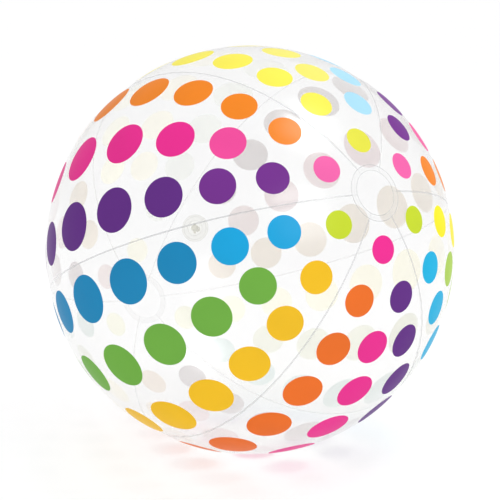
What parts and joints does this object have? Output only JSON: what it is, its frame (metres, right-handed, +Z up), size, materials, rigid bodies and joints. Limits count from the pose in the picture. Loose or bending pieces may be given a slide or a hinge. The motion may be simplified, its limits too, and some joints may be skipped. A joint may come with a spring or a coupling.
{
  "type": "inflatable beach ball",
  "caption": "Clear inflatable beach ball of six lapped film panels with round end patches, rows of printed dots and a push-in air valve with a tethered plug.",
  "frame": {"origin": "middle of the small flat the ball rests on, under its centre, on the floor plane", "axes": "+Z up, away from the floor; +Y away from the viewer the plain end patch half faces, with the valve on the +Y side; +X to that viewer's right"},
  "size_m": [0.6796, 0.6788, 0.6758],
  "materials": {
    "clear_film": "glossy clear plasticised vinyl film",
    "valve_vinyl": "moulded soft clear vinyl, faintly blue"
  },
  "bodies": {
    "envelope": {"panel_1": "clear_film", "panel_2": "clear_film", "panel_3": "clear_film", "panel_4": "clear_film", "panel_5": "clear_film", "panel_6": "clear_film", "end_patch_plain": "clear_film", "end_patch_valve_end": "clear_film", "valve_flange": "valve_vinyl", "valve_web": "valve_vinyl"},
    "stem": {"valve_stem": "valve_vinyl"},
    "plug": {"valve_plug": "valve_vinyl", "plug_strap": "valve_vinyl", "plug_pull_tab": "valve_vinyl"},
    "flap": {"valve_check_flap": "valve_vinyl"}
  },
  "joints": [
    {"name": "valve_pull", "type": "slide", "parent": "envelope", "child": "stem", "axis": [-0.2972, 0.9514, -0.0811], "range_m": [0, 0.014]},
    {"name": "plug_hinge", "type": "hinge", "parent": "stem", "child": "plug", "pos_m": [-0.10184, 0.326, 0.31758], "axis": [0.9545, 0.2982, 0], "range_deg": [0, 120]},
    {"name": "flap_hinge", "type": "hinge", "parent": "stem", "child": "flap", "pos_m": [-0.09581, 0.30669, 0.31562], "axis": [-0.9545, -0.2982, 0], "range_deg": [0, 60], "stiffness_Nm_per_rad": 0.00002}
  ]
}
